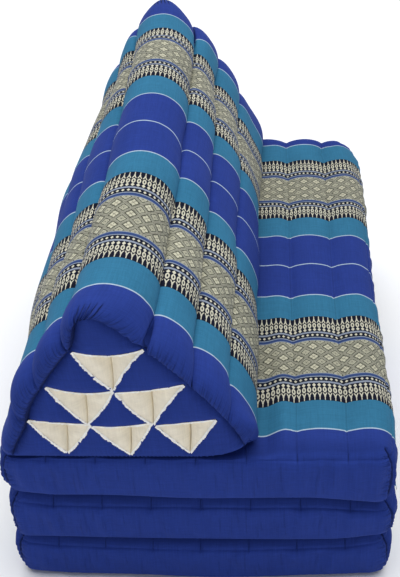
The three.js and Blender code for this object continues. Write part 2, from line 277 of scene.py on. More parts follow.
class Surface:
    """Grids of points with cloth coordinates, welded into one mesh where they meet."""

    def __init__(self):
        self.points = []
        self.uv = []
        self.faces = []
        self.materials = []
        self.count = 0

    def add_grid(self, points, uv, flip=False, material=0):
        rows, columns = points.shape[:2]
        index = np.arange(rows * columns).reshape(rows, columns)
        a, b = index[:-1, :-1].ravel(), index[:-1, 1:].ravel()
        c, d = index[1:, 1:].ravel(), index[1:, :-1].ravel()
        quads = np.stack([a, d, c, b] if flip else [a, b, c, d], axis=1)
        self.add_faces(points.reshape(-1, 3), uv.reshape(-1, 2), quads, material)

    def add_faces(self, points, uv, faces, material=0):
        self.points.append(points)
        self.uv.append(uv)
        self.faces.extend((faces + self.count).tolist())
        self.materials.extend([material] * len(faces))
        self.count += len(points)

    def build(self, name, *materials):
        points = np.concatenate(self.points)
        uv = np.concatenate(self.uv)
        keys = np.round(points / WELD).astype(np.int64)
        _, first, weld = np.unique(keys, axis=0, return_index=True, return_inverse=True)
        weld = weld.ravel()
        faces, corners, kept = [], [], []
        for face, material in zip(self.faces, self.materials):
            ring = []
            for i in face:
                if weld[i] not in [weld[j] for j in ring]:
                    ring.append(i)
            if len(ring) > 2:
                faces.append([int(weld[i]) for i in ring])
                corners.extend(ring)
                kept.append(material)
        mesh = bpy.data.meshes.new(name)
        mesh.from_pydata((points[first] * METRES).tolist(), [], faces)
        layer = mesh.uv_layers.new(name="Cloth")
        layer.uv.foreach_set("vector", (uv[corners] * METRES).astype(np.float32).ravel())
        mesh.polygons.foreach_set("use_smooth", np.ones(len(faces), dtype=bool))
        mesh.polygons.foreach_set("material_index", np.array(kept, dtype=np.int32))
        for material in materials:
            mesh.materials.append(material)
        mesh.update()
        return new_object(name, mesh)


# Mats


def stitch_line(x):
    edge_channel = MAT_LENGTH / 2 - CHANNEL_PITCH / 2
    wave = np.abs(np.sin(math.pi * (x + MAT_LENGTH / 2) / CHANNEL_PITCH))
    return np.where(np.abs(x) > edge_channel, 0, 1 - wave**STITCH_SHARPNESS)


def stitch_distance(x):
    """Distance to the nearest stitch line between two channels."""
    inner = MAT_LENGTH / 2 - CHANNEL_PITCH
    nearest = np.clip(np.round(x / CHANNEL_PITCH) * CHANNEL_PITCH, -inner, inner)
    return np.abs(x - nearest)


def side_inset(side, y):
    facts = SIDES[side]
    narrowing = facts["taper"] * smoothstep(y, facts["taper_start"], HALF_WIDTH)
    return facts["draw_in"] * (1 - (y / HALF_WIDTH) ** 2) + narrowing


def both_insets(x, y):
    return np.where(x < 0, side_inset(-1, y), side_inset(1, y))


def sink_at(y):
    return SINK["middle"] + (SINK["front"] - SINK["middle"]) * smoothstep(-y, 0, HALF_WIDTH)


def hang(y, z):
    share = np.clip(z / STACK_TOP, 0, 1)
    reach = smoothstep(np.abs(y), HALF_WIDTH - EDGE_HANG_ZONE, HALF_WIDTH)
    return EDGE_HANG * reach * np.sin(math.pi * share)


def round_edges(box):
    """Places of points on a mat's box after rounding, and the way out there."""
    limit = np.array([HALF_LENGTH - EDGE_RADIUS, HALF_WIDTH - EDGE_RADIUS])
    inner = np.clip(box[:, :2], -limit, limit)
    out = box[:, :2] - inner
    reach = np.abs(out).max(axis=1)
    power = np.where(box[:, 1] < 0, FRONT_CORNER_POWER, 2)
    length = (np.abs(out) ** power[:, None]).sum(axis=1) ** (1 / power)
    out = out / np.maximum(length, TINY)[:, None]
    radius = np.where(box[:, 2] > 0, EDGE_RADIUS, LOWER_EDGE_RADIUS)
    core_out = np.minimum(reach, EDGE_RADIUS - radius)
    core_up = np.clip(box[:, 2], radius - HALF_THICKNESS, HALF_THICKNESS - radius)
    turn = unit(np.column_stack([reach - core_out, box[:, 2] - core_up]))
    spread = core_out + radius * turn[:, 0]
    place = np.column_stack([inner + out * spread[:, None], core_up + radius * turn[:, 1]])
    return place, np.column_stack([out * turn[:, :1], turn[:, 1]])


def pull_back_corners(place):
    over_x = np.abs(place[:, 0]) - (HALF_LENGTH - BACK_CORNER_ZONE)
    over_y = place[:, 1] - (HALF_WIDTH - BACK_CORNER_ZONE)
    inside = (over_x > 0) & (over_y > 0)
    far = np.maximum(over_x, over_y) / np.maximum(np.hypot(over_x, over_y), TINY)
    pull = np.where(inside, 1 - np.sqrt(np.clip(far, 0, 1)), 0)
    place[:, 0] -= np.sign(place[:, 0]) * over_x * pull
    place[:, 1] -= over_y * pull


def mat_wrinkles(box, normal, seed):
    """How far cloth stands out: puckers at the stitches, gathers at the panel seam, soft unevenness."""
    x, y, z = box.T
    flatness = np.abs(normal[:, 2])
    upright = np.hypot(normal[:, 0], normal[:, 1])
    along = np.where(np.abs(normal[:, 0]) > np.abs(normal[:, 1]), y, x)
    rise = UNEVEN["height"] * ripple(x, y + 0.7 * z, UNEVEN["length"], seed)
    near = flatness * bell(stitch_distance(x), PUCKERS["reach"])
    rise += near * waves(PUCKERS, y, x, y, seed + 1, x)
    near = upright * bell(z - PANEL_SEAM, PANEL_GATHERS["reach"])
    rise += near * waves(PANEL_GATHERS, along, along, z, seed + 2)
    rise -= PANEL_GROOVE["depth"] * upright * bell(z - PANEL_SEAM, PANEL_GROOVE["width"])
    low = smoothstep(PANEL_SEAM - z, 0, PANEL_RIPPLE["fade"]) * smoothstep(z, *PANEL_RIPPLE["foot"])
    return rise + low * upright * ripple(along, 0.3 * z, PANEL_RIPPLE["length"], seed + 3)


def corner_gathers(box, normal, seed):
    """Upright seams where the edge panel turns the front corners."""
    x, y, z = box.T
    upright = np.clip(np.hypot(normal[:, 0], normal[:, 1]), 0, 1)
    offset = np.maximum(HALF_LENGTH - np.abs(x), HALF_WIDTH + y)
    at_seam = bell(offset, CORNER_SEAM["width"])
    fan = np.exp(-offset / CORNER_FOLDS["reach"]) * (1 - at_seam)
    folds = fan * waves(CORNER_FOLDS, z, x, z, seed, np.sign(x))
    return upright * (folds - CORNER_SEAM["depth"] * at_seam)


def press_under_triangle(place):
    edge = TRIANGLE_CENTRE + OUTER_SEAMS[3][0] + TRIANGLE_FOOT
    freed = smoothstep(place[:, 0], edge, edge + CHANNEL_PITCH / 2)
    pressed = np.minimum(place[:, 2], STACK_TOP - sink_at(place[:, 1]) - 1)
    place[:, 2] = pressed + (place[:, 2] - pressed) * freed


def mat_points(box, mat):
    place, normal = round_edges(box)
    bottom_quilt, top_quilt = mat["quilt"]
    level = place[:, 2] / HALF_THICKNESS
    below = bottom_quilt * (1 - smoothstep(np.abs(place[:, 1]), *QUILT_FADE))
    above = top_quilt * (1 - FLATTER_QUILT["loss"] * smoothstep(-place[:, 1], *FLATTER_QUILT["along"]))
    quilt = np.where(level > 0, above, below)
    stitch = stitch_line(place[:, 0])
    belly = 1 - level**2
    inset = both_insets(place[:, 0], place[:, 1]) * place[:, 0] / HALF_LENGTH
    crown = END_CROWN * (1 - (place[:, 0] / HALF_LENGTH) ** 2) * place[:, 1] / HALF_WIDTH
    place[:, 2] -= level * quilt * stitch
    pull_back_corners(place)
    place[:, 0] += normal[:, 0] * SIDE_BULGE * belly - inset
    place[:, 1] += normal[:, 1] * END_BULGE * belly + crown
    scallop = SCALLOP * stitch * smoothstep(box[:, 2], PANEL_SEAM - 3, PANEL_SEAM + 5)
    place[:, 1] -= normal[:, 1] * scallop
    rise = mat_wrinkles(box, normal, mat["seed"])
    rise += corner_gathers(box, normal, mat["seed"])
    if mat["level"] == 0:
        rise = np.where(normal[:, 2] < -0.9, 0, rise)
    elif mat["name"] == "mat_top":
        covered = 1 - smoothstep(place[:, 0], *UNDER_TRIANGLE)
        rise = rise * (1 - covered * np.clip(normal[:, 2], 0, 1))
    place += normal * rise[:, None]
    place[:, :2] += front_corners(place, mat) + mat["shift"]
    place[:, 2] += mat["level"] * MAT_PITCH + HALF_THICKNESS
    if mat["name"] == "mat_top":
        press_under_triangle(place)
    place[:, 2] -= hang(place[:, 1], place[:, 2])
    settle(place)
    place[:, 2] = np.maximum(place[:, 2], 0)
    return place


def front_share(y):
    return smoothstep(-y, FRONT_CORNER_START, HALF_WIDTH)


def front_corners(place, mat):
    """How far a mat's front corners are drawn in, and drawn back from its middle."""
    share = place[:, 0] / HALF_LENGTH
    moves = np.column_stack([-mat["drawn_in"] * share, mat["drawn_back"] * share**2])
    return moves * front_share(place[:, 1])[:, None]


def settle(place):
    """The front corners have settled unevenly, where one mat lies on the next."""
    x, z = place[:, 0], place[:, 2]
    front = smoothstep(-place[:, 1], SETTLE_START, HALF_WIDTH)
    for start, end, joint, spread, drop in SETTLING:
        share = smoothstep(x, start, end) if end > start else smoothstep(-x, -start, -end)
        place[:, 2] -= drop * front * share * bell(z - joint, spread)


def mat_levels():
    """Heights of the rows round a mat's sides, close together at the seam of the edge panel."""
    even = np.linspace(-HALF_THICKNESS, HALF_THICKNESS, MAT_STEPS["up"])
    seam = PANEL_SEAM + np.array([-4, -2, -1, 0, 1, 2, 4])
    clear = even[np.abs(even - PANEL_SEAM) > 5]
    return np.sort(np.concatenate([clear, seam]))


def mat_lines(half, steps):
    """Places of the lines across a mat's face, closer together where its edges are round."""
    rim = np.linspace(0, EDGE_RADIUS, MAT_STEPS["rim"])
    middle = np.linspace(EDGE_RADIUS - half, half - EDGE_RADIUS, steps)
    return np.unique(np.concatenate([rim - half, middle, half - rim]))


def add_mat_face(surface, mat, axis, side, first, second):
    """One face of a mat; the cloth of the upright ones runs on from the top."""
    a, b = np.meshgrid(first, second, indexing="ij")
    half = (HALF_LENGTH, HALF_WIDTH, HALF_THICKNESS)[axis]
    box = np.insert(np.stack([a, b], axis=-1), axis, side * half, axis=-1)
    down = side * (half + HALF_THICKNESS - b)
    uv = ((down, a), (a, down), (a, b))[axis]
    points = mat_points(box.reshape(-1, 3), mat).reshape(box.shape)
    surface.add_grid(points, np.stack(uv, axis=-1), (side > 0) == (axis == 1))


def mat_cover(mat, material):
    xs = mat_lines(HALF_LENGTH, CHANNELS * MAT_STEPS["channel"] + 1)
    ys = mat_lines(HALF_WIDTH, MAT_STEPS["along"])
    zs = mat_levels()
    surface = Surface()
    for side in (1, -1):
        add_mat_face(surface, mat, 2, side, xs, ys)
        add_mat_face(surface, mat, 1, -side, xs, zs)
        add_mat_face(surface, mat, 0, side, ys, zs)
    return surface.build(mat["name"] + "_cover", material)


# Triangle


def puffed_arc(start, end, rise, steps):
    """A half ellipse from one seam to the next, without its last point."""
    along = np.subtract(end, start)
    turn = math.pi * np.arange(steps) / steps
    out = square_left(along) * (rise * np.sin(turn))[:, None]
    return start + along * ((1 - np.cos(turn)) / 2)[:, None] + out


def section_loop(seams, right_shift, apex_rise, channel_rise):
    """Points round a section, and each one's place in its channel from 0 to 1."""
    left = [(-w, h) for w, h in reversed(seams)]
    right = [(w + shift, h) for (w, h), shift in zip(seams, right_shift)]
    last = len(seams) - 1
    runs = [(left[i], left[i + 1], channel_rise, "channel") for i in range(last)]
    runs.append((left[last], right[0], apex_rise, "apex"))
    runs += [(right[i], right[i + 1], channel_rise, "channel") for i in range(last)]
    runs.append((right[last], left[0], 0, "base"))
    points = [puffed_arc(a, b, rise, SECTION_STEPS[kind]) for a, b, rise, kind in runs]
    shares = [np.arange(len(p)) / len(p) for p in points]
    channel = [np.full(len(p), i) for i, p in enumerate(points)]
    return np.concatenate(points), np.concatenate(shares), np.concatenate(channel)


def narrowed(x, height, y):
    """The sides are drawn in towards the back, and the lowest left channel is flatter at the front."""
    back = np.where(x < 0, DRAWN["left"], DRAWN["right"]) * smoothstep(y, *DRAWN["run"])
    back = back * smoothstep(height, *DRAWN["foot"]) * (1 - smoothstep(height, *DRAWN["top"]))
    low = bell(height - FLAT_CHANNEL["height"], FLAT_CHANNEL["spread"])
    low = low * smoothstep(-x, *FLAT_CHANNEL["across"]) * smoothstep(-y, *FLAT_CHANNEL["run"])
    return x * (1 - back - FLAT_CHANNEL["share"] * low)


def place_in_section(x, height, y):
    t = y / HALF_WIDTH
    x = narrowed(x, height, y)
    sag = APEX_SAG["drop"] * smoothstep(y, APEX_SAG["start"], HALF_WIDTH)
    height = height - sag * smoothstep(height, *APEX_SAG["heights"])
    slope = (LEAN["back"] - LEAN["front"]) / 2
    bend = (LEAN["back"] + LEAN["front"]) / 2 - LEAN["middle"]
    top_lean = LEAN["middle"] + slope * t + bend * t * t
    lean = top_lean * (np.maximum(0, height) / SECTION_HEIGHT) ** LEAN_POWER
    backness = smoothstep(t, 0, 1)
    base = STACK_TOP + TRIANGLE_GAP - sink_at(y)
    middle = TRIANGLE_CENTRE + TRIANGLE_SKEW * y + BACK_SHIFT * backness + lean
    rise = 1 + TRIANGLE_TAPER * t + BACK_RISE * backness
    across = middle + x * (1 - TRIANGLE_TAPER * t)
    return np.stack(np.broadcast_arrays(across, y, base + height * rise), axis=-1)


def pinched(points, roll):
    if roll["side"] < 0:
        return points
    height = points[..., 1]
    share = BACK_PINCH * smoothstep(height, 0, PINCH_HEIGHT)
    share = share + BACK_APEX_PINCH["share"] * smoothstep(height, *BACK_APEX_PINCH["heights"])
    return np.stack([points[..., 0] * (1 - share), height], axis=-1)


def face_distance(roll):
    return roll["start"] + roll["depth"] * math.sin(math.radians(roll["turn"]))


def roll_stations(roll):
    """Along one rolled end from its seam: (y, share of the end section, share of the turn, roll)."""
    last = math.radians(roll["turn"])
    stations = []
    for t in last * (np.arange(roll["steps"], 0, -1) / roll["steps"]):
        y = roll["side"] * (roll["start"] + roll["depth"] * math.sin(t))
        stations.append((y, (1 - math.cos(t)) / (1 - math.cos(last)), t / last, roll))
    return stations


def triangle_stations():
    straight = np.arange(-FRONT_ROLL["start"], BACK_ROLL["start"] + 0.1, STATION_PITCH)
    middle = [(y, 0, 0, FRONT_ROLL if y < 0 else BACK_ROLL) for y in straight]
    return roll_stations(FRONT_ROLL) + middle + roll_stations(BACK_ROLL)[::-1]


def outward_ways(loop):
    return square_left(np.roll(loop, -1, axis=0) - np.roll(loop, 1, axis=0))


def channel_puckers(around, share, y):
    """Small puckers beside the long seams, and a soft unevenness of the filling."""
    from_seam = np.minimum(share, 1 - share)
    near = bell(from_seam - CHANNEL_PUCKERS["share"], CHANNEL_PUCKERS["share"])
    rise = near * waves(CHANNEL_PUCKERS, y, around, y, 5, around / 9)
    return rise + LUMPS["height"] * ripple(around, y, LUMPS["length"], 6)


def end_gathers(around, turned, strength):
    """Small gathers that run from an end seam up over the roll."""
    fine, coarse = END_GATHERS["pitches"]
    drift = END_GATHERS["sway"] * ripple(around, turned * 40, END_GATHERS["length"], 8)
    folds = np.sin(around / fine + drift) + 0.7 * np.sin(around / coarse - 1.5 * drift)
    return END_GATHERS["height"] * smoothstep(turned, *END_GATHERS["reach"]) * strength * folds


def roll_lobes(share, length, turned):
    """Each channel's end is a lobe of the roll, with a notch between it and the next."""
    from_seam = np.minimum(share, 1 - share) * length
    puff = ROLL_PUFF * np.sin(math.pi * share) ** 0.6 * math.sin(math.pi * turned)
    reach = smoothstep(turned, 0, 0.35) * (1 - 0.3 * smoothstep(turned, 0.75, 1))
    return puff - NOTCH_DEPTH * reach * bell(from_seam, NOTCH_WIDTH)


def apex_pleats(loop, turned):
    """A few short deep pleats over the apex cell, each between two soft lips."""
    reach = smoothstep(loop[:, 1], *PLEAT_HEIGHTS) * smoothstep(turned, *PLEAT_REACH)
    rise = np.zeros(len(loop))
    for x, depth in PLEATS:
        lips = PLEAT_LIP["share"] * bell(loop[:, 0] - x, PLEAT_LIP["width"] * PLEAT_WIDTH)
        rise += depth * (lips - bell(loop[:, 0] - x, PLEAT_WIDTH))
    return reach * rise


def gather_strength(loop):
    """The gathers are deepest on the lower right of the apex."""
    off = np.abs(loop[:, 1] - DEEP_GATHERS["height"])
    right = smoothstep(loop[:, 0], *DEEP_GATHERS["across"]) * (1 - smoothstep(off, *DEEP_GATHERS["fade"]))
    return DEEP_GATHERS["least"] + DEEP_GATHERS["more"] * right


def triangle_rings():
    outer, share, channel = section_loop(OUTER_SEAMS, RIGHT_SHIFT, APEX_RISE, CHANNEL_RISE)
    end = end_loop()
    ways = outward_ways(outer)
    steps = np.linalg.norm(np.roll(outer, -1, axis=0) - outer, axis=1)
    around = np.concatenate([[0], np.cumsum(steps)[:-1]])
    strength = gather_strength(outer)
    length = np.array([steps[channel == i].sum() for i in range(channel.max() + 1)])[channel]
    on_base = channel == channel.max()
    rings, along = [], []
    for y, toward_end, turned, roll in triangle_stations():
        flat = outer + (pinched(end, roll) - outer) * toward_end
        rise = channel_puckers(around, share, y) * (1 - turned)
        rise += roll_lobes(share, length, turned)
        rise += end_gathers(around, turned, strength * roll["gather"])
        if roll["side"] < 0:
            rise += apex_pleats(outer, turned)
        rise = np.where(on_base, 0, rise)
        tilt = turned * math.radians(roll["turn"])
        flat = flat + ways * (rise * max(0, math.cos(tilt)))[:, None]
        reach = abs(y) + rise * math.sin(tilt)
        beyond = np.maximum(0, reach - face_distance(roll))
        ring_y = roll["side"] * (reach - beyond * (1 - smoothstep(outer[:, 1], 0, FOOT_ZONE)))
        flat = lifted(flat, ring_y)
        rings.append(place_in_section(flat[:, 0], flat[:, 1], ring_y))
        along.append(y)
    front, back = tucked_rings(end, FRONT_ROLL), tucked_rings(end, BACK_ROLL)
    reach = [face_distance(FRONT_ROLL), face_distance(BACK_ROLL)]
    along = [-reach[0]] * len(front) + along + [reach[1]] * len(back)
    return np.array(front[::-1] + rings + back), around, np.array(along)


def tucked_rings(end, roll):
    """The hidden edge of a roll, turned in behind the end face."""
    rings = []
    for inward, depth in TUCK:
        flat = end + outward_ways(end) * -inward
        y = np.full(len(flat), roll["side"] * (face_distance(roll) - depth))
        flat = lifted(pinched(flat, roll), roll["side"] * face_distance(roll))
        rings.append(place_in_section(flat[:, 0], flat[:, 1], y))
    return rings


def cloth_along(rings, along):
    """How far each ring lies along the cloth from the middle, measured over the top of the apex."""
    top = SECTION_STEPS["channel"] * 3 + SECTION_STEPS["apex"] // 2
    line = rings[:, top]
    steps = np.linalg.norm(np.diff(line, axis=0), axis=1)
    run = np.concatenate([[0], np.cumsum(steps)])
    return run - np.interp(0, along, run)


def add_body(surface):
    rings, around, along = triangle_rings()
    run = cloth_along(rings, along)
    closed = np.concatenate([rings, rings[:, :1]], axis=1)
    total = around[-1] + np.linalg.norm(rings[0, 0] - rings[0, -1])
    u = np.concatenate([around, [total]])
    first = SECTION_STEPS["channel"] * 3
    rightness = smoothstep(u, around[first], around[first + SECTION_STEPS["apex"] // 2])
    v = run[:, None] + BACK_EASE["shift"] * smoothstep(run, *BACK_EASE["run"])[:, None] * rightness
    uv = np.stack(np.broadcast_arrays(u[None, :], v), axis=-1)
    surface.add_grid(closed, uv, flip=False)


# End faces


def bowed_edge(a, b, bow, t):
    """A shallow curve from a to b, whose middle is moved by bow."""
    t = np.asarray(t)[..., None]
    return a + (b - a) * t + 4 * t * (1 - t) * bow


def square_to(a, b, away_from):
    """The unit way square to an edge that leads away from a point."""
    way = square_left(b - a)
    return way if np.dot(way, a - away_from) > 0 else -way


def mouth_edges(mouth):
    """The upper, left and right edges of a pocket's mouth; the slanting ones end at its vertex."""
    a, b, v = (np.array(corner) for corner in mouth[:3])
    sag, left_bow, right_bow = mouth[3:]
    middle = (a + b + v) / 3
    t = np.linspace(0, 1, RIM_STEPS)
    top = bowed_edge(a, b, np.array([0, -sag]), t)
    left = bowed_edge(a, v, left_bow * square_to(a, v, middle), t)
    right = bowed_edge(b, v, right_bow * square_to(b, v, middle), t)
    return top, left, right


def mouth_loop(mouth):
    top, left, right = mouth_edges(mouth)
    return np.concatenate([top[:-1], right[:-1], left[:0:-1]])


def inside(points, loop):
    """Which points lie inside a closed loop."""
    x, y = points[:, :1], points[:, 1:]
    x0, y0 = loop.T
    x1, y1 = np.roll(loop, -1, axis=0).T
    spans = (y0 > y) != (y1 > y)
    rise = np.where(y1 == y0, 1, y1 - y0)
    crossing = x < x0 + (y - y0) * (x1 - x0) / rise
    return (spans & crossing).sum(axis=1) % 2 == 1


def least_distance(points, curve):
    return np.min(np.linalg.norm(points[:, None] - curve[None], axis=2), axis=1)


def seam_run(points, loop):
    """How far along a closed loop its point nearest to each point lies."""
    run = np.cumsum(np.linalg.norm(loop - np.roll(loop, 1, axis=0), axis=1))
    return run[np.argmin(np.linalg.norm(points[:, None] - loop[None], axis=2), axis=1)]


def cell_height(distance):
    return CELL_CROWN * (1 - np.exp(-np.maximum(distance, 0) / CELL_EDGE))


def lifted(flat, y):
    """The lower right corner of the front end is rounded and stands a little off the mat."""
    x, height = flat[..., 0], flat[..., 1]
    near = smoothstep(-y, *LIFT_RUN)
    over_x = x - (LIFT_END - CORNER_ROUND)
    over_down = CORNER_ROUND - height
    far = np.maximum(over_x, over_down) / np.maximum(np.hypot(over_x, over_down), TINY)
    pull = np.where((over_x > 0) & (over_down > 0), 1 - far, 0) * near
    x, height = x - over_x * pull, height + over_down * pull
    share = np.clip((x - LIFT_START) / (LIFT_END - LIFT_START), 0, 1.2) ** 3
    low = 1 - smoothstep(height, *LIFT_HEIGHTS)
    return np.stack([x, height + CORNER_LIFT * share * low * near], axis=-1)


def on_face(flat, height, roll):
    """Points of an end face standing out by height."""
    y = roll["side"] * face_distance(roll)
    flat = pinched(lifted(flat, y), roll)
    placed = place_in_section(flat[..., 0], flat[..., 1], y)
    placed[..., 1] += roll["side"] * height
    return placed


def face_uv(flat):
    return np.stack([flat[..., 0], HALF_WIDTH + 100 + flat[..., 1]], axis=-1)


def end_loop():
    """The seam round an end face; over the apex it is a lopsided curve."""
    points, _, channel = section_loop(END_SEAMS, END_RIGHT_SHIFT, APEX_RISE, END_CHANNEL_RISE)
    on_apex = channel == len(END_SEAMS) - 1
    left, right = np.array((-END_SEAMS[0][0], END_SEAMS[0][1])), np.array(END_SEAMS[0])
    t = np.linspace(0, 1, on_apex.sum(), endpoint=False)[:, None]
    low, high = (np.array(pull) for pull in END_APEX_PULL)
    ends = (1 - t) ** 3 * left + t**3 * right
    points[on_apex] = ends + 3 * t * (1 - t) ** 2 * low + 3 * t**2 * (1 - t) * high
    return points


def scattered_points(loop, rims, curves):
    low, high = loop.min(axis=0), loop.max(axis=0)
    xs = np.arange(low[0], high[0], CELL_PITCH)
    ys = np.arange(low[1], high[1], CELL_PITCH * 0.866)
    x, y = np.meshgrid(xs, ys)
    x = x + (np.arange(len(ys)) % 2)[:, None] * CELL_PITCH / 2
    points = np.column_stack([x.ravel(), y.ravel()])
    points = points[inside(points, loop)]
    for rim in rims:
        points = points[~inside(points, rim)]
    return points[least_distance(points, curves) > 0.45 * CELL_PITCH]


def closed_edges(first, count):
    return [(first + i, first + (i + 1) % count) for i in range(count)]


def add_end_face(surface, roll):
    """The filled cells of an end: a face sewn to the roll, with the pockets' mouths left open."""
    loop = end_loop()
    rims = [mouth_loop(mouth) for mouth in MOUTHS]
    curves = np.concatenate([loop, *rims])
    edges, first = [], 0
    for curve in [loop, *rims]:
        edges += closed_edges(first, len(curve))
        first += len(curve)
    points = np.concatenate([curves, scattered_points(loop, rims, curves)])
    found = delaunay_2d_cdt([Vector(p) for p in points], edges, [], 0, 1e-4)
    flat = np.array([tuple(v) for v in found[0]])
    faces = np.array(found[2])
    middles = flat[faces].mean(axis=1)
    keep = inside(middles, loop)
    for rim in rims:
        keep &= ~inside(middles, rim)
    faces = faces[keep]
    from_seam = least_distance(flat, loop)
    x, y = flat.T
    height = cell_height(least_distance(flat, curves))
    inner = CELL_RIPPLE["height"] * smoothstep(from_seam, 0, CELL_RIPPLE["fade"])
    height += inner * ripple(x, 0.4 * y, CELL_RIPPLE["length"], 61)
    pucker = waves(SEAM_PUCKER, seam_run(flat, loop), x, y, 62)
    height -= (SEAM_SINK + pucker) * smoothstep(y, *SEAM_BASE) * np.exp(-from_seam / SEAM_SPREAD)
    if roll["side"] > 0:
        faces = faces[:, ::-1]
    surface.add_faces(on_face(flat, height, roll), face_uv(flat), faces)


def triangle_cover(material):
    surface = Surface()
    add_body(surface)
    for roll in (FRONT_ROLL, BACK_ROLL):
        add_end_face(surface, roll)
    return surface.build("triangle_cushion_cover", material)


# Linings of the pockets


def add_wall(surface, rim, crease, deepest, roll, flip):
    """One wall of a pocket, from its rim to a line inside."""
    s = np.linspace(0, 1, WALL_STEPS)[:, None]
    flat = rim[None] + (crease - rim)[None] * s[..., None]
    depth = deepest[None] * (0.5 * s + 0.5 * s**3)
    slack = 0.5 * ripple(flat[..., 0], flat[..., 1], 22, 71) * np.sin(math.pi * s)
    surface.add_grid(on_face(flat, slack - depth, roll), flat, flip == (roll["side"] < 0))


def add_lining(surface, mouth, roll):
    """Two slanting walls that meet in a narrow slot, and a ceiling."""
    top, left, right = mouth_edges(mouth)
    vertex = left[-1]
    t = np.linspace(0, 1, RIM_STEPS)
    head_x = vertex[0] + 3
    head = np.array([head_x, np.interp(head_x, top[:, 0], top[:, 1]) - 1])
    crease = bowed_edge(head, vertex, np.array([1, 0]), t)
    deepest = POCKET_DEPTH * (1 - t) ** 0.8 + 1
    half = np.column_stack([SLOT_WIDTH * (1 - t) ** 0.5, 0 * t])
    add_wall(surface, left, crease - half, deepest, roll, False)
    add_wall(surface, right, crease + half, FOLD_DEPTH * deepest, roll, True)
    bottom = deepest + SLOT_DEPTH * (1 - t) ** 0.5
    add_slot(surface, crease - half, deepest, crease, bottom, roll, False)
    add_slot(surface, crease + half, FOLD_DEPTH * deepest, crease, bottom, roll, True)
    add_ceiling(surface, top, crease[0], roll)


def add_slot(surface, edge, depth, crease, bottom, roll, flip):
    """One side of the slot where the walls' cloth is folded in."""
    flat = np.stack([edge, crease])
    deep = np.stack([depth, bottom])
    surface.add_grid(on_face(flat, -deep, roll), flat, flip == (roll["side"] < 0))


def add_ceiling(surface, top, head, roll):
    """The upper inside of a pocket, under the cell above it."""
    toward = np.where(
        top[:, 0] < head[0],
        (top[:, 0] - top[0, 0]) / (head[0] - top[0, 0]),
        (top[-1, 0] - top[:, 0]) / (top[-1, 0] - head[0]),
    )
    ends = np.where((top[:, 0] < head[0])[:, None], top[0], top[-1])
    inner = ends + (head - ends) * toward[:, None]
    deep = (POCKET_DEPTH + 1) * (0.5 * toward + 0.5 * toward**3)
    p = np.linspace(0, 1, 7)
    flat = top[:, None] + (inner - top)[:, None] * p[None, :, None]
    surface.add_grid(on_face(flat, -deep[:, None] * p[None, :], roll), flat, roll["side"] < 0)


def frayed_width(t, length, seed):
    """Uneven width of a frayed edge along it, about 1."""
    rng = np.random.default_rng(seed)
    teeth = np.convolve(rng.uniform(0.4, 1.3, len(t) + 2), (0.25, 0.5, 0.25), "valid")
    slow = ripple(t * length, 0 * t, 18, seed + 1)
    return 0.65 * teeth + 0.35 + 0.15 * slow


def add_selvage(surface, edge, middle, hanging, roll, seed):
    """A frayed white edge along one side of a pocket's mouth."""
    length = np.linalg.norm(np.diff(edge, axis=0), axis=1).sum()
    t = np.linspace(0, 1, int(length / 0.7))
    steps = np.linspace(0, 1, len(edge))
    line = np.column_stack([np.interp(t, steps, edge[:, k]) for k in range(2)])
    way = square_left(np.gradient(line, axis=0))
    if np.dot(way[len(t) // 2], middle - line[len(t) // 2]) > 0:
        way = -way
    width = SELVAGE * frayed_width(t, length, seed)
    inner = -0.9 * width if hanging else np.full_like(t, -0.7)
    outer = np.full_like(t, 0.9) if hanging else width
    p = np.linspace(0, 1, 5)
    reach = inner[:, None] + (outer - inner)[:, None] * p
    flat = line[:, None] + way[:, None] * reach[..., None]
    height = cell_height(reach) + 0.8 + 0.3 * ripple(t[:, None] * length, reach, 6, seed + 2)
    surface.add_grid(on_face(flat, height, roll), flat, False, material=1)


def lining(name, mouth, roll, seed, cotton, selvage):
    surface = Surface()
    add_lining(surface, mouth, roll)
    top, left, right = mouth_edges(mouth)
    middle = (top[0] + top[-1] + left[-1]) / 3
    add_selvage(surface, left, middle, False, roll, seed + 3)
    add_selvage(surface, right, middle, False, roll, seed + 4)
    add_selvage(surface, top, middle, True, roll, seed + 5)
    return surface.build(name, cotton, selvage)


# Hinges


def mat_side(mat, z):
    local = z - mat["level"] * MAT_PITCH - HALF_THICKNESS
    radius = np.where(local > 0, EDGE_RADIUS, LOWER_EDGE_RADIUS)
    over = np.maximum(0, np.abs(local) - (HALF_THICKNESS - radius))
    level = local / HALF_THICKNESS
    bend = np.sqrt(np.maximum(0, radius**2 - over**2))
    return HALF_LENGTH - radius + bend + SIDE_BULGE * (1 - level**2) * bend / radius


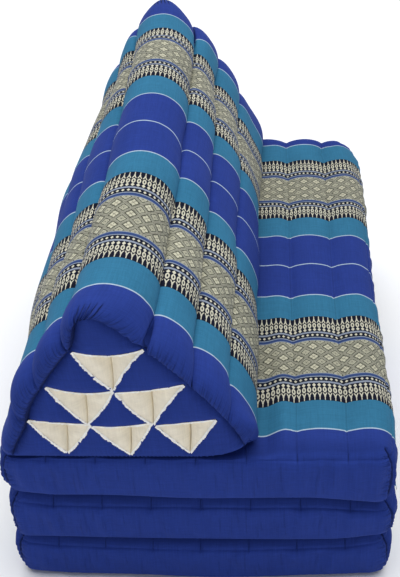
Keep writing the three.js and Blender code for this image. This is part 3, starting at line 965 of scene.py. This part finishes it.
def hinge_strip(name, side, low_mat, high_mat, z_low, z_high, seed, material):
    """A strip of cloth down the sides of two mats, and its width laid flat."""
    fold = high_mat["level"] * MAT_PITCH
    t = np.linspace(0, 1, HINGE_STEPS["up"])
    z = z_low + (z_high - z_low) * t
    y = np.linspace(-HINGE_LENGTH / 2, HINGE_LENGTH / 2, HINGE_STEPS["along"])
    reach = np.where(z < fold, mat_side(low_mat, z), mat_side(high_mat, z))
    reach = np.maximum(reach, HALF_LENGTH - HINGE_TUCK)
    upper = smoothstep(z, fold - HINGE_TUCK, fold + HINGE_TUCK)
    shift = low_mat["shift"][0] + (high_mat["shift"][0] - low_mat["shift"][0]) * upper
    drawn = low_mat["drawn_in"] + (high_mat["drawn_in"] - low_mat["drawn_in"]) * upper
    lift = HINGE_LIFT * (1 + np.sqrt(np.sin(math.pi * t)))
    ends = np.column_stack([np.full_like(y, HALF_LENGTH), y])
    pull_back_corners(ends)
    inset = side_inset(side, y) + HALF_LENGTH - ends[:, 0]
    out = (reach + lift)[:, None] - inset - drawn[:, None] * front_share(y)
    out = out + HINGE_RIPPLE["height"] * ripple(z[:, None], y, HINGE_RIPPLE["length"], seed)
    out = side * out + shift[:, None]
    points = np.stack(np.broadcast_arrays(out, y, z[:, None]), axis=-1)
    points[..., 2] -= hang(points[..., 1], points[..., 2])
    settle(points.reshape(-1, 3))
    run = np.concatenate([[0], np.cumsum(np.hypot(np.diff(reach), np.diff(z)))])
    uv = np.stack(np.broadcast_arrays(HALF_LENGTH + run[:, None], y), axis=-1)
    surface = Surface()
    surface.add_grid(points, uv, side > 0)
    return surface.build(name + "_strip", material), run[-1]


# Materials


def paint(red, green, blue):
    """A screen colour, each part from 0 to 255, as the light it stands for."""
    return (*Color((red / 255, green / 255, blue / 255)).from_srgb_to_scene_linear(), 1)


class Wire:
    """A number in a node tree, so that a pattern reads as plain sums."""

    def __init__(self, tree, socket):
        self.tree = tree
        self.socket = socket

    def op(self, operation, *others):
        node = self.tree.nodes.new("ShaderNodeMath")
        node.operation = operation
        for place, value in enumerate((self, *others)):
            if isinstance(value, Wire):
                self.tree.links.new(value.socket, node.inputs[place])
            else:
                node.inputs[place].default_value = value
        return Wire(self.tree, node.outputs[0])

    def __add__(self, other):
        return self.op("ADD", other)

    def __sub__(self, other):
        return self.op("SUBTRACT", other)

    def __mul__(self, other):
        return self.op("MULTIPLY", other)

    def __truediv__(self, other):
        return self.op("DIVIDE", other)

    def size(self):
        return self.op("ABSOLUTE")

    def most(self, other):
        return self.op("MAXIMUM", other)

    def repeat(self, pitch, start=0):
        """Signed distance to the middle of the repeat it is in."""
        share = ((self - start) / pitch).op("FRACT")
        return (share - 0.5) * pitch

    def rise(self, low, high):
        """0 below low, 1 above high."""
        node = self.tree.nodes.new("ShaderNodeMapRange")
        node.interpolation_type = "SMOOTHSTEP"
        self.tree.links.new(self.socket, node.inputs["Value"])
        node.inputs["From Min"].default_value = low
        node.inputs["From Max"].default_value = high
        return Wire(self.tree, node.outputs["Result"])

    def below(self, edge, soft):
        return self.rise(edge + soft, edge - soft)

    def above(self, edge, soft):
        return self.rise(edge - soft, edge + soft)

    def within(self, low, high, soft):
        return self.above(low, soft) * self.below(high, soft)


def mix_colour(share, under, over):
    tree = share.tree
    node = tree.nodes.new("ShaderNodeMix")
    node.data_type = "RGBA"
    tree.links.new(share.socket, node.inputs["Factor"])
    for socket, value in ((node.inputs[6], under), (node.inputs[7], over)):
        if isinstance(value, tuple):
            socket.default_value = value
        else:
            tree.links.new(value, socket)
    return node.outputs[2]


def layered(colour, layers):
    """A colour with others laid over it, each with its share."""
    for share, over in layers:
        colour = mix_colour(share, colour, over)
    return colour


def scaled_colour(colour, factor):
    tree = factor.tree
    node = tree.nodes.new("ShaderNodeVectorMath")
    node.operation = "SCALE"
    tree.links.new(colour, node.inputs[0])
    tree.links.new(factor.socket, node.inputs["Scale"])
    return node.outputs[0]


def new_material(name, finish):
    material = bpy.data.materials.new(name)
    material.use_nodes = True
    tree = material.node_tree
    shader = tree.nodes["Principled BSDF"]
    for socket, value in finish.items():
        shader.inputs[socket].default_value = value
    return material, tree, shader


def cloth_place(tree):
    """Millimetres across and along the cloth."""
    scale = 1 / METRES
    place = tree.nodes.new("ShaderNodeUVMap")
    place.uv_map = "Cloth"
    parts = tree.nodes.new("ShaderNodeSeparateXYZ")
    tree.links.new(place.outputs["UV"], parts.inputs[0])
    return Wire(tree, parts.outputs["X"]) * scale, Wire(tree, parts.outputs["Y"]) * scale


def noise(u, v, across, along):
    """Noise from 0 to 1 whose grain has those two lengths in millimetres."""
    tree = u.tree
    place = tree.nodes.new("ShaderNodeCombineXYZ")
    tree.links.new((u / across).socket, place.inputs["X"])
    tree.links.new((v / along).socket, place.inputs["Y"])
    node = tree.nodes.new("ShaderNodeTexNoise")
    node.noise_dimensions = "2D"
    node.inputs["Scale"].default_value = 1
    node.inputs["Detail"].default_value = 2
    tree.links.new(place.outputs[0], node.inputs["Vector"])
    return Wire(tree, node.outputs[0])


def add_bump(shader, height, distance, strength):
    """Relief on top of what the shader has already; distance is in millimetres."""
    tree = height.tree
    bump = tree.nodes.new("ShaderNodeBump")
    bump.inputs["Strength"].default_value = strength
    bump.inputs["Distance"].default_value = distance * METRES
    tree.links.new(height.socket, bump.inputs["Height"])
    if shader.inputs["Normal"].is_linked:
        tree.links.new(shader.inputs["Normal"].links[0].from_socket, bump.inputs["Normal"])
    tree.links.new(bump.outputs[0], shader.inputs["Normal"])


def weave(u, v, shader, strength):
    """Threads both ways as a share of brightness, and as bump."""
    weft = noise(u, v, 14, 0.9)
    warp = noise(u, v, 0.9, 18)
    cloud = noise(u, v, 40, 55)
    grain = (weft + warp) * 0.5
    slub = noise(u, v, 80, 2.4) + noise(u, v, 2.4, 80)
    add_bump(shader, grain, 0.6, strength)
    return (grain - 0.5) * 0.5 + (cloud - 0.5) * 0.16 + (slub - 1) * 0.2 + 1


BLUE = paint(35, 55, 127)
TEAL = paint(47, 108, 139)
PALE = paint(165, 182, 196)
DARK = paint(14, 18, 34)
CREAM = paint(196, 193, 172)
KHAKI = paint(145, 144, 127)
OLIVE = paint(56, 56, 48)
PALE_KHAKI = paint(174, 172, 150)
DIAMOND = paint(188, 185, 161)
SHEEN = paint(120, 140, 200)
BAND_LINE = paint(132, 141, 156)
BAND_BLUE = paint(46, 67, 112)
STRIPED_FINISH = {
    "Roughness": 0.85,
    "Sheen Weight": 0.05,
    "Sheen Roughness": 0.4,
    "Sheen Tint": SHEEN,
    "Specular IOR Level": 0.1,
}
COTTON_FINISH = {"Roughness": 0.9, "Sheen Weight": 0.1, "Specular IOR Level": 0.2}
FLOOR_FINISH = {"Base Color": (0.82, 0.82, 0.82, 1), "Roughness": 0.9}


def ellipse(a, b, half_a, half_b):
    """Below 1 inside an ellipse of those half widths."""
    return ((a / half_a).op("POWER", 2) + (b / half_b).op("POWER", 2)).op("SQRT")


def candle_motifs(u, s):
    """Cream figures from the bead row to the teal: a bud, a ring and a forked tip."""
    a = u.repeat(MOTIF_PITCH).size()
    bud = (a / 2.7 + (s - 24.2).size() / 3.7).below(1, 0.15)
    ring = ellipse(a, s - 33.4, 2.8, 5.4).below(1, 0.13)
    hole = ellipse(a, s - 33.4, 1, 2.6).below(1, 0.3)
    prong = (a - (s - 46) * -0.4).size().below(0.8, 0.3) * s.within(39.5, 46, 0.5)
    stem_half = ((s - 46.5).size() * -0.4 + 1.3).most(0.6)
    stem = (a - stem_half).below(0, 0.3) * s.within(43, 54, 0.5)
    return bud.most(ring * (hole * -1 + 1)).most(prong).most(stem)


def bead_row(u, s):
    a = u.repeat(MOTIF_PITCH, MOTIF_PITCH / 2).size()
    return (a / 2.4 + (s - 12.2).size() / 2.6).below(1, 0.15)


def diamond_field(u, d, fuzz):
    """Rows of outlined four-part diamonds on khaki, with fainter ones between them."""
    start = BAND_MIDDLE - DIAMOND_ROWS / 2
    a, b = u.repeat(DIAMOND_PITCH).size(), d.repeat(DIAMOND_ROWS, start).size()
    main = a / 7.3 + b / 6.6 + fuzz
    split = (a / 7.3 - b / 6.6).size() + fuzz
    c = u.repeat(DIAMOND_PITCH, DIAMOND_PITCH / 2).size()
    e = d.repeat(DIAMOND_ROWS, start + DIAMOND_ROWS / 2).size()
    minor = c / 6.4 + e / 5.8 + fuzz
    cross = split.below(0.1, 0.06).most(main.below(0.18, 0.06)) * main.below(0.9, 0.06)
    return layered(KHAKI, [
        (main.within(1.5, 1.66, 0.06) * 0.45, OLIVE),
        (minor.below(1.3, 0.07) * 0.9, OLIVE),
        (minor.below(1, 0.07), PALE_KHAKI),
        (minor.within(0.5, 0.68, 0.07) * 0.5, OLIVE),
        (minor.below(0.26, 0.08) * 0.8, OLIVE),
        (main.below(1.3, 0.06) * 0.95, OLIVE),
        (main.below(0.96, 0.06), DIAMOND),
        (cross * 0.6, OLIVE),
    ])


def figured_band(u, d, fuzz):
    """The figured band between two teal stripes: diamonds in the middle, bead rows and candles."""
    s = (d - BAND_MIDDLE).size() - DIAMONDS_HALF
    return layered(DARK, [
        (candle_motifs(u, s).most(bead_row(u, s)), CREAM),
        (s.within(6, 7.8, 0.3), BAND_LINE),
        (s.within(16.4, 19.8, 0.4), BAND_LINE),
        (s.below(6, 0.3), BAND_BLUE),
        (s.below(1.2, 0.4), BAND_LINE),
        (s.below(0, 0.3), diamond_field(u, d, fuzz)),
    ])


def panel_folds_and_painted_light(u, v):
    """Creases and corner seams of the mats' edge panels, as relief and as painted shade, and how light
    the cloth is painted: tops darker, edge panels lighter.
    """
    d, side = v.size(), u.size()
    on_panel = d.above(HALF_WIDTH + 8, 8)
    sway = (noise(u, d, 22, 30) - 0.5) * 2
    at_stitch = (u + sway).repeat(CHANNEL_PITCH, CHANNEL_PITCH / 2).size().below(0.5, 0.8)
    at_stitch = at_stitch * d.within(HALF_WIDTH, HALF_WIDTH + 18, 6)
    stitch = u.repeat(CHANNEL_PITCH, CHANNEL_PITCH / 2).size().below(0.8, 1.6) * 0.6
    stitch = stitch * side.below(HALF_LENGTH - 34, 2) * d.below(HALF_WIDTH, 4)
    scattered = noise(u + sway, d, 6, 70).above(0.7, 0.05) * on_panel * 0.35
    gathers = noise(u, d, 16, 2.4).below(0.43, 0.06)
    gathers = gathers * side.rise(HALF_LENGTH - 26, HALF_LENGTH - 4)
    seam = side.above(HALF_LENGTH - 2.2, 0.8) * d.above(HALF_WIDTH - 2.2, 0.8)
    # Each fold mark is bump and also darkens the colour as painted shade: stitch grooves, creases,
    # gathers, corner seams
    folds = at_stitch.most(stitch).most(scattered).most(gathers * on_panel * 0.8).most(seam * 1.8)
    # The second value is painted light: tops painted darker, edge panels painted lighter
    return folds, d.above(HALF_WIDTH, 8) * (PANEL_PAINTED_LIGHT - MAT_PAINTED_SHADE) + MAT_PAINTED_SHADE


def roll_folds_and_painted_shade(u, v):
    """Gathers on the rolled ends, pleats over the apex and the seam, as relief and as painted shade, and
    how light the cloth is painted, which is unchanged here.
    """
    d = v.size()
    on_roll = d.below(FACE_START, 2)
    folds = noise(u, d, GATHER_PITCH, 60).below(0.42, 0.06)
    folds = folds * d.rise(GATHER_START, GATHER_END) * 0.8
    sway = (noise(u, d, 9, 16) - 0.5) * 3
    pleats = (u + sway).repeat(PLEAT_PITCH, FIRST_PLEAT).size().below(0.8, 0.7)
    pleats = pleats * u.within(FIRST_PLEAT, LAST_PLEAT, 2) * d.rise(SEAM_AT - 46, SEAM_AT - 32)
    # Puckers by the end seam, the pleats and the seam line are painted shade as well as bump
    painted_pucker_shade = noise(u, d, 2.2, 30).rise(0.62, 0.36) * d.rise(SEAM_AT - 9, SEAM_AT - 3)
    folds = folds.most(pleats * 1.8).most(painted_pucker_shade * 1.4).most(d.above(SEAM_AT - 2.5, 1.5) * 1.8)
    return folds * on_roll, 1


def striped_cloth(name, folds_and_painted_light):
    material, tree, shader = new_material(name, STRIPED_FINISH)
    u, v = cloth_place(tree)
    sway = noise(u, v, 30, 60)
    fuzz = (noise(u, v, 1.6, 1.6) - 0.5) * 0.5
    d = (v + (sway - 0.5) * 1.6).size()
    lines = d.below(LINE_HALF, THREAD)
    for place in (STRIPE_LINE, EDGE_LINE):
        lines = lines.most((d - place).size().below(LINE_HALF, THREAD))
    colour = layered(BLUE, [
        (d.within(STRIPE_LINE, EDGE_LINE, THREAD), TEAL),
        ((d - BAND_MIDDLE).size().below(BAND_HALF, THREAD), figured_band(u, d, fuzz)),
        (lines, PALE),
    ])
    folds, painted_light = folds_and_painted_light(u, v)
    # The fold marks darken the colour as painted shade, and the second returned value brightens or
    # darkens it as painted light
    shade = weave(u, v, shader, 0.35) * painted_light * (folds * -0.3 + 1)
    add_bump(shader, folds, -1.2, 1)
    tree.links.new(scaled_colour(colour, shade), shader.inputs["Base Color"])
    return material


def plain_cotton(name, colour, darker, strength):
    material, tree, shader = new_material(name, COTTON_FINISH)
    u, v = cloth_place(tree)
    base = mix_colour(noise(u, v, 9, 9), colour, darker)
    shade = weave(u, v, shader, strength)
    tree.links.new(scaled_colour(base, shade * 0.5 + 0.5), shader.inputs["Base Color"])
    return material


# Stage


def add_floor():
    mesh = bpy.data.meshes.new("floor")
    corners = [(-1, -1), (1, -1), (1, 1), (-1, 1)]
    mesh.from_pydata([(x * FLOOR_REACH, y * FLOOR_REACH, 0) for x, y in corners], [], [(0, 1, 2, 3)])
    mesh.materials.append(new_material("floor", FLOOR_FINISH)[0])
    floor = new_object("floor", mesh)


def add_sun(name, way, spread, strength):
    data = bpy.data.lights.new(name, "SUN")
    data.angle = math.radians(spread)
    data.energy = strength
    light = new_object(name, data)
    light.rotation_mode = "QUATERNION"
    light.rotation_quaternion = Vector(way).to_track_quat("Z", "Y")


def add_lights():
    world = bpy.data.worlds.new("studio")
    bpy.context.scene.world = world
    world.use_nodes = True
    for socket, value in SKY.items():
        world.node_tree.nodes["Background"].inputs[socket].default_value = value
    for name, (way, spread, strength) in SUNS.items():
        add_sun(name, way, spread, strength)


def add_camera():
    yaw, pitch, roll = (math.radians(a) for a in (CAMERA_YAW, CAMERA_PITCH, CAMERA_ROLL))
    turn = Matrix.Rotation(-yaw, 3, "Z") @ Matrix.Rotation(math.pi / 2 - pitch, 3, "X")
    data = bpy.data.cameras.new("camera")
    data.sensor_width = SENSOR
    data.lens = CAMERA_FOCUS_PX * SENSOR / PHOTO_LONG_SIDE_PX
    camera = new_object("camera", data)
    camera.location = np.array(CAMERA_PLACE) * METRES
    camera.rotation_mode = "QUATERNION"
    camera.rotation_quaternion = (turn @ Matrix.Rotation(roll, 3, "Z")).to_quaternion()
    bpy.context.scene.camera = camera


# The object


def fit(piece, node):
    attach(piece, "root")
    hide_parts(node)
    return piece


def add_cushions(triangle_cloth, mat_cloth):
    for mat in MATS:
        piece = fit(mat_cover(mat, mat_cloth), mat["name"])
    piece = fit(triangle_cover(triangle_cloth), "triangle_cushion")


def add_hinges(cloth):
    bottom, middle, top = MATS
    lower, upper = MAT_PITCH, 2 * MAT_PITCH
    strips = [
        ("hinge_middle_to_bottom", -1, bottom, middle, lower - HINGE_HALF_HEIGHT,
         lower + HINGE_HALF_HEIGHT, ["mat_bottom_cover", "mat_middle_cover"]),
        ("hinge_top_to_middle", 1, middle, top, upper - HINGE_HALF_HEIGHT,
         upper + HINGE_HALF_HEIGHT, ["mat_middle_cover", "mat_top_cover"]),
        ("hinge_triangle_to_top", -1, top, top, upper + HINGE_FOOT,
         STACK_TOP - SINK["front"] - HINGE_HEAD, ["mat_top_cover", "triangle_cushion_cover"]),
    ]
    for seed, (name, side, low, high, z_low, z_high, rests) in enumerate(strips, FIRST_SEED["hinge"]):
        strip, width = hinge_strip(name, side, low, high, z_low, z_high, seed, cloth)
        fit(strip, name)


def sheet_area(piece):
    mesh = piece.data
    areas = np.zeros(len(mesh.polygons), np.float32)
    mesh.polygons.foreach_get("area", areas)
    return float(areas.sum())


def add_linings(cotton, selvage):
    for end, roll in (("front", FRONT_ROLL), ("back", BACK_ROLL)):
        for i, mouth in enumerate(MOUTHS):
            node = f"pocket_lining_{end}_{i + 1}"
            seed = FIRST_SEED["lining"] + 10 * i + (0 if end == "front" else 5)
            piece = lining(node + "_cloth", mouth, roll, seed, cotton, selvage)
            fit(piece, node)
            round(sheet_area(piece), 5)


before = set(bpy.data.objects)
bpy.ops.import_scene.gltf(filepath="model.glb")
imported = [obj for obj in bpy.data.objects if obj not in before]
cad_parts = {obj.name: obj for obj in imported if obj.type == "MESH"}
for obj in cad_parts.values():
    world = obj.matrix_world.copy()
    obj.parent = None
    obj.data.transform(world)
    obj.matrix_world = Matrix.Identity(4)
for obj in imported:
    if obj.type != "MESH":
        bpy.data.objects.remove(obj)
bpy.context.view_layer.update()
# The mats' copy of the cloth carries painted light: tops painted darker, edge panels painted lighter
mat_cloth = striped_cloth("striped_cloth_mats", panel_folds_and_painted_light)
add_cushions(striped_cloth("striped_cloth_triangle", roll_folds_and_painted_shade), mat_cloth)
add_hinges(mat_cloth)
add_linings(
    plain_cotton("cream_cotton", paint(248, 239, 216), paint(236, 226, 203), 0.4),
    plain_cotton("selvage", paint(253, 251, 245), paint(240, 237, 228), 0.8),
)
add_floor()
add_lights()
add_camera()
bpy.context.scene.view_settings.view_transform = "Standard"
